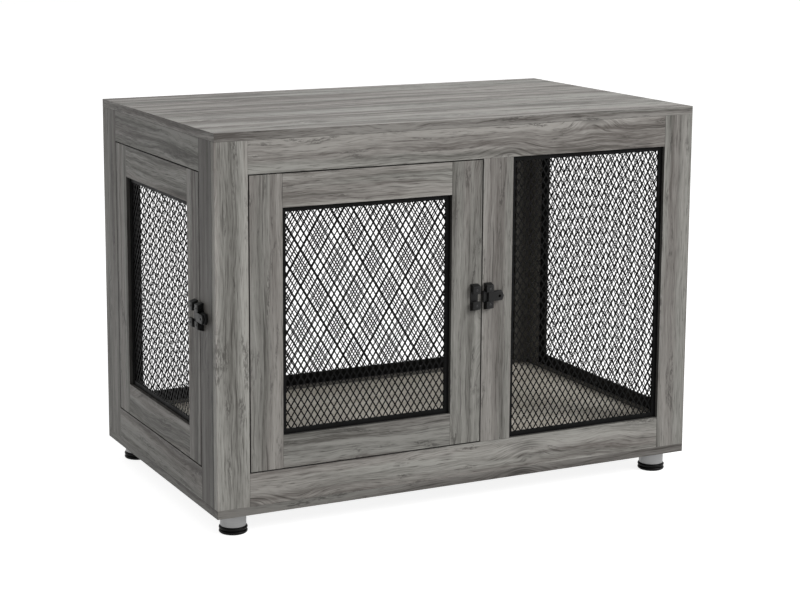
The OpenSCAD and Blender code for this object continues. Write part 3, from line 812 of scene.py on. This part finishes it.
class CRATE_OT_panels(bpy.types.Operator):
    """Coat the mesh panels and stop tabs, and screw them to the boards"""

    bl_idname = "crate.panels"
    bl_label = "Mesh panels"

    def execute(self, context):
        settings = context.scene.crate_steel
        coat = powder_coat("panel powder coat", settings.coat, rough=0.5, shine=0.08)
        head = powder_coat("blackened screw", SCREW_BLACK, rough=0.3, grit=1600.0, worn=1.3)
        for node in [n for n in NODES if n.endswith("_panel")]:
            dress(node, coat)
            screws(node, self.panel_spots(node, settings.spacing), INNER_FACE, settings.screw, head)
        for node in ("front_door_stop", "side_door_stop"):
            dress(node, coat)
            screws(node, self.stop_spots(node), INNER_FACE, STOP_SCREW, head)
        return {"FINISHED"}

    def panel_spots(self, node, spacing):
        """Places of the screws in the bar round a panel, to a hundredth of a millimetre"""
        low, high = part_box(node)
        along = wall_of(node).along
        inset = 7.25 * MM
        corner = 3 * inset
        spots = []
        for z in (low.z + inset, high.z - inset):
            spots += [(u, z) for u in spread(low[along] + corner, high[along] - corner, spacing)]
        for u in (low[along] + inset, high[along] - inset):
            spots += [(u, z) for z in spread(low.z + corner, high.z - corner, spacing)]
        return sorted((round(u, 5), round(z, 5)) for u, z in spots)

    def stop_spots(self, node):
        """Places of a stop tab's two screws, in its half beside the door"""
        low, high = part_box(node)
        along = wall_of(node).along
        inset = 8 * MM
        end = 9 * MM
        u = high[along] - inset if node.startswith("front") else low[along] + inset
        return (u, low.z + end), (u, high.z - end)


# Latches


class CRATE_OT_latches(bpy.types.Operator):
    """Build both slide latches: body, keeper and bolt with its grip"""

    bl_idname = "crate.latches"
    bl_label = "Slide latches"

    def execute(self, context):
        settings = context.scene.crate_latch
        black = powder_coat("latch black", settings.black, rough=0.4, grit=1500.0, worn=1.36, shine=0.2)
        head = powder_coat("latch screw", LATCH_SCREW_BLACK, rough=0.28, grit=1600.0, worn=1.3)
        nodes = [n for n in NODES if "_latch_" in n and "door" not in n]
        plates = [n for n in nodes if n.endswith(("_body", "_keeper"))]
        for node in nodes:
            shape = self.rounded(node, settings.edge if node in plates else settings.small)
            smooth(put(shape, node + "_rounded", black, BODY_OF[node], (node,)), crease=30)
        for node in plates:
            screws(node, self.plate_spots(node), OUTER_FACE, LATCH_SCREW, head, LATCH_SUNK)
        return {"FINISHED"}

    def rounded(self, node, radius):
        """A latch's piece with rounded edges, closed where they leave it thinner than a hair"""
        bm = eased_copy(node, radius, segments=3, shortest=1.6 * MM, sharpest=28)
        bmesh.ops.remove_doubles(bm, verts=bm.verts, dist=0.02 * MM)
        bmesh.ops.dissolve_degenerate(bm, edges=bm.edges, dist=0.005 * MM)
        bmesh.ops.recalc_face_normals(bm, faces=bm.faces)
        return bm

    def plate_spots(self, node):
        """Places of the two small screws through a latch's plate"""
        low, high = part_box(node)
        along = wall_of(node).along
        middle = (low[along] + high[along]) / 2
        end = 10 * MM
        return (middle, low.z + end), (middle, high.z - end)


# Feet


class CRATE_OT_feet(bpy.types.Operator):
    """Turn the four feet: satin tube and ribbed pad"""

    bl_idname = "crate.feet"
    bl_label = "Feet"

    def execute(self, context):
        settings = context.scene.crate_foot
        metal = satin_metal("satin tube", settings.tube)
        rubber = moulded("foot pad", settings.pad, shine=0.1)
        for corner in ("front_left", "front_right", "rear_left", "rear_right"):
            tube, pad = corner + "_foot_tube", corner + "_foot_pad"
            shape = self.turning(tube, self.tube, settings.steps)
            smooth(put(shape, tube + "_turned", metal, BODY_OF[tube], (tube,)), crease=40)
            shape = self.turning(pad, self.pad, settings.steps)
            smooth(put(shape, pad + "_moulded", rubber, BODY_OF[pad], (pad,)), crease=50)
        return {"FINISHED"}

    def turning(self, node, outline, steps):
        """A foot's piece, turned to its outline in its node's place"""
        low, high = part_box(node)
        centre = Vector(((low.x + high.x) / 2, (low.y + high.y) / 2, 0.0))
        bm = bmesh.new()
        turned(bm, outline((high.x - low.x) / 2, low.z, high.z), centre, steps)
        return bm

    def tube(self, radius, foot, tip):
        """Outline of a tube with its closing plates and its stud, from its inside to the stud's tip"""
        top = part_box("bottom_board")[0].z
        wall, plate = 1.5 * MM, 3 * MM
        hole, stud = 5.05 * MM, 5 * MM
        chamfer = 0.6 * MM
        roll = 0.6 * MM
        turn = 0.3 * roll
        bore = radius - wall
        inside = [(0, top - plate), (bore, top - plate), (bore, foot + plate), (hole, foot + plate)]
        outside = [(hole, foot), (radius - roll, foot), (radius - turn, foot + turn), (radius, foot + roll),
                   (radius, top - roll), (radius - turn, top - turn), (radius - roll, top)]
        return inside + outside + [(stud, top), (stud, tip - chamfer), (stud - chamfer, tip), (0, tip)]

    def pad(self, radius, foot, tip):
        """Outline of a pad with two round ribs and its levelling stud, from its underside up"""
        height = 13 * MM
        rib = 3.05 * MM
        core = radius - rib
        underside = core - 1.5 * MM
        crown = core - 0.5 * MM
        stud = 5 * MM
        chamfer = 0.8 * MM
        outline = [(0, foot), (underside, foot), (core, foot)]
        reach, step = 84, 14
        for middle in (0.25 * height, 0.75 * height):
            turns = [math.radians(angle) for angle in range(-reach, reach + 1, step)]
            outline += [(core + rib * math.cos(turn), middle + rib * math.sin(turn)) for turn in turns]
        return outline + [(core, height), (crown, height), (stud, height),
                          (stud, tip - chamfer), (stud - chamfer, tip), (0, tip)]


# Stage


class CRATE_OT_stage(bpy.types.Operator):
    """Set the studio: floor, lights, background and camera"""

    bl_idname = "crate.stage"
    bl_label = "Studio"

    def execute(self, context):
        settings = context.scene.crate_stage
        self.floor()
        self.lamp("key", at=(2.6, -3.2, 3.0), aim=(0.0, -0.1, 0.4), size=2.6, power=settings.key)
        self.lamp("fill", at=(-3.6, -1.6, 1.6), aim=(0.0, 0.0, 0.35), size=2.4, power=settings.fill)
        self.world(settings.ambient)
        self.camera()
        context.scene.view_settings.view_transform = "Standard"
        return {"FINISHED"}

    def floor(self):
        """A wide floor, a hair below the pads, that shows white outside the crate's shadow"""
        reach = 14.0
        drop = 0.2 * MM
        grey = 0.517
        glow = 0.86
        material = bpy.data.materials.new("studio floor")
        tree = Tree(material)
        path = tree.node("ShaderNodeLightPath").outputs
        seen = tree.most(path["Is Camera Ray"], path["Is Glossy Ray"])
        plain = tree.node("ShaderNodeBsdfDiffuse", {"Color": (grey, grey, grey, 1.0)})
        white = tree.node("ShaderNodeEmission", {"Color": WHITE, "Strength": tree.times(seen, glow)})
        both = tree.node("ShaderNodeAddShader", {0: plain.outputs[0], 1: white.outputs[0]})
        tree.node("ShaderNodeOutputMaterial", {"Surface": both.outputs[0]})
        bm = bmesh.new()
        bmesh.ops.create_grid(bm, x_segments=1, y_segments=1, size=reach)
        bmesh.ops.translate(bm, vec=(0, 0, -drop), verts=bm.verts)
        new_object(bm, "studio_floor", material)

    def lamp(self, name, at, aim, size, power):
        """A round soft light at a place, aimed at another"""
        light = bpy.data.lights.new(name, "AREA")
        light.shape = "DISK"
        light.size = size
        light.energy = power
        lamp = bpy.data.objects.new(name, light)
        lamp.location = at
        lamp.rotation_euler = (Vector(aim) - Vector(at)).to_track_quat("-Z", "Y").to_euler()
        bpy.context.scene.collection.objects.link(lamp)

    def world(self, ambient):
        """White to the camera, in gloss and through glass, and an even light on the crate"""
        world = bpy.data.worlds.new("studio")
        tree = Tree(world)
        path = tree.node("ShaderNodeLightPath").outputs
        seen = tree.most(path["Is Camera Ray"], path["Is Glossy Ray"], path["Is Transmission Ray"])
        strength = tree.mix(seen, ambient, 1.0, "FLOAT")
        back = tree.node("ShaderNodeBackground", {"Color": WHITE, "Strength": strength})
        tree.node("ShaderNodeOutputWorld", {"Surface": back.outputs[0]})
        bpy.context.scene.world = world

    def camera(self):
        """The photograph's view: from the front left, a little above the crate"""
        data = bpy.data.cameras.new("camera")
        data.sensor_width = 36.0
        data.lens = 87.857
        data.shift_x = 0.05
        data.shift_y = -0.1
        data.clip_end = 60.0
        camera = bpy.data.objects.new("camera", data)
        camera.location = (-1.64209, -3.23524, 1.10682)
        tilt, roll, heading = 80.1327, -0.1414, -25.9344
        camera.rotation_euler = [math.radians(angle) for angle in (tilt, roll, heading)]
        bpy.context.scene.collection.objects.link(camera)
        bpy.context.scene.camera = camera


# Add-on


OPERATORS = (
    CRATE_OT_case,
    CRATE_OT_doors,
    CRATE_OT_joinery,
    CRATE_OT_panels,
    CRATE_OT_latches,
    CRATE_OT_feet,
    CRATE_OT_stage,
)


class CRATE_PT_panel(bpy.types.Panel):
    """Lists the pieces of the crate and their settings"""

    bl_idname = "CRATE_PT_panel"
    bl_label = "Pet crate"
    bl_space_type = "VIEW_3D"
    bl_region_type = "UI"
    bl_category = "Crate"

    def draw(self, context):
        for operator in OPERATORS:
            self.layout.operator(operator.bl_idname)
        for name, group in SETTINGS.items():
            box = self.layout.box()
            for key in group.__annotations__:
                box.prop(getattr(context.scene, name), key)


def register():
    for group in SETTINGS.values():
        bpy.utils.register_class(group)
    for name, group in SETTINGS.items():
        setattr(bpy.types.Scene, name, PointerProperty(type=group))
    for cls in OPERATORS + (CRATE_PT_panel,):
        bpy.utils.register_class(cls)


def unregister():
    for cls in reversed(OPERATORS + (CRATE_PT_panel,)):
        bpy.utils.unregister_class(cls)
    for name, group in reversed(SETTINGS.items()):
        delattr(bpy.types.Scene, name)
        bpy.utils.unregister_class(group)


def main():
    register()
    bpy.ops.crate.case()
    bpy.ops.crate.doors()
    bpy.ops.crate.joinery()
    bpy.ops.crate.panels()
    bpy.ops.crate.latches()
    bpy.ops.crate.feet()
    bpy.ops.crate.stage()


if __name__ == "__main__":
    main()
